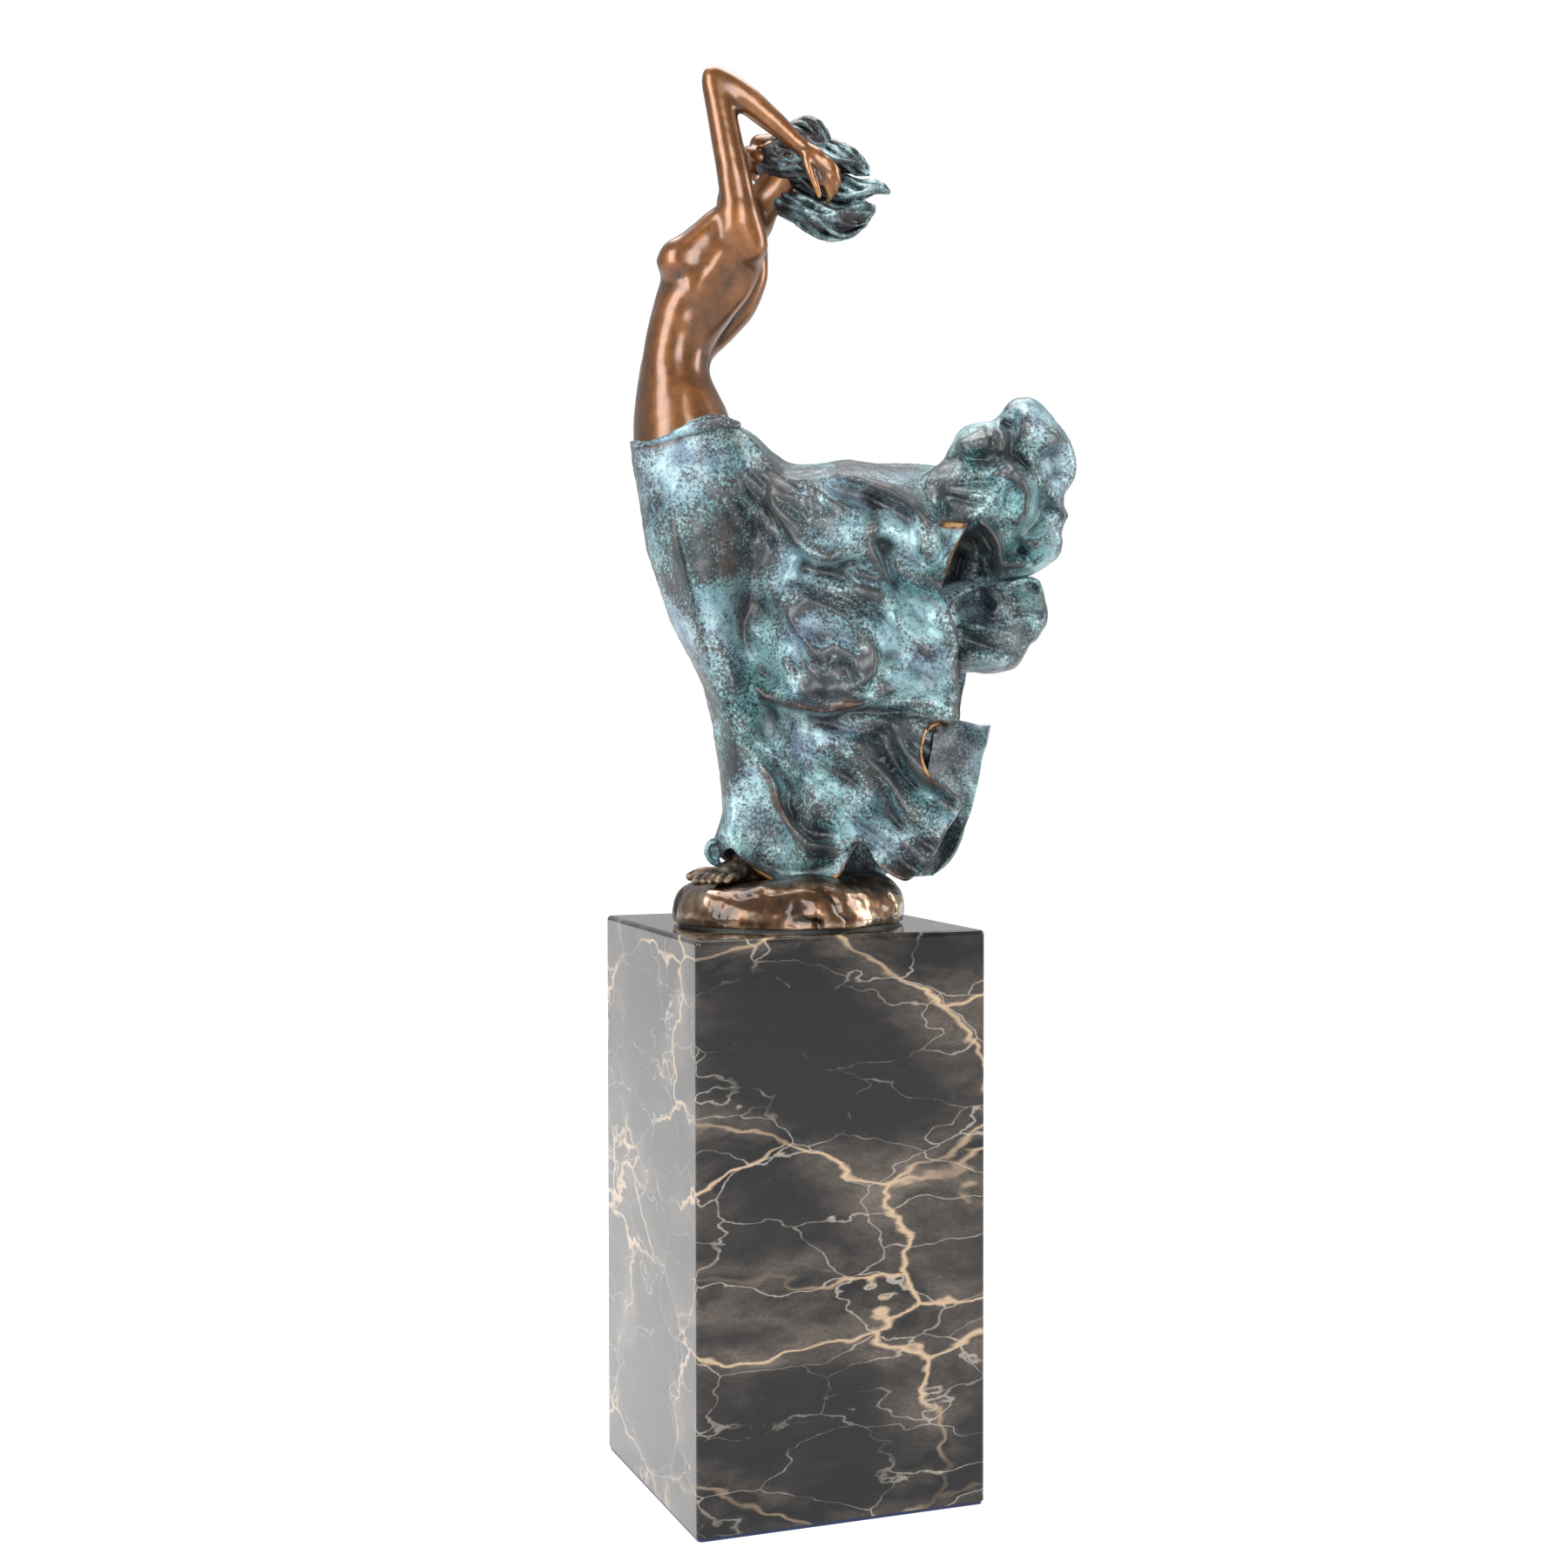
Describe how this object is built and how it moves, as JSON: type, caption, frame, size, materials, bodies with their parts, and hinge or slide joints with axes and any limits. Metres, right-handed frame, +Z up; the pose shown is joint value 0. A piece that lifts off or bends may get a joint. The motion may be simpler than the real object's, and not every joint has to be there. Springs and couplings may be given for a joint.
{
  "type": "bronze statuette",
  "caption": "Patinated bronze figure of a dancer leaning into the wind, long drapery streaming behind, on a tall square marble plinth.",
  "frame": {"origin": "centre of the underside of the felt, the face the statuette stands on", "axes": "+Z up, +X to the right along the plinth's main face, +Y away from someone looking at that face; the bronze is turned 20.8 degrees clockwise on the plinth, seen from above"},
  "size_m": [0.1445, 0.1023, 0.4793],
  "materials": {
    "marble": "polished black marble with gold-brown and white veins",
    "felt": "dark blue felt",
    "bedding": "black bedding compound",
    "rock_bronze": "cast bronze, golden-brown, polished on its high points",
    "skin_bronze": "cast bronze, waxed brown patina",
    "hair_bronze": "cast bronze, dark brown patina with blue-green in the hollows",
    "verdigris_bronze": "cast bronze, mottled blue-green and brown patina with worn golden edges",
    "steel": "zinc-plated steel"
  },
  "bodies": {
    "root": {"anchor_bar": "steel", "bedding_pad": "bedding", "drape_far": "verdigris_bronze", "drape_front": "verdigris_bronze", "drape_near": "verdigris_bronze", "far_foot": "skin_bronze", "far_forearm": "skin_bronze", "far_hand": "skin_bronze", "far_upper_arm": "skin_bronze", "felt_pad": "felt", "fixing_nut": "steel", "fixing_rod": "steel", "hair_cap": "hair_bronze", "hair_lock_crown": "hair_bronze", "hair_lock_lower": "hair_bronze", "hair_lock_middle": "hair_bronze", "hair_lock_upper": "hair_bronze", "head": "skin_bronze", "hem_flap": "verdigris_bronze", "lock_washer": "steel", "near_foot": "skin_bronze", "near_forearm": "skin_bronze", "near_hand": "skin_bronze", "near_upper_arm": "skin_bronze", "plate_washer": "steel", "plinth": "marble", "rock": "rock_bronze", "torso": "skin_bronze", "train_lower": "verdigris_bronze", "train_upper": "verdigris_bronze", "waist_knot": "verdigris_bronze"}
  },
  "joints": []
}
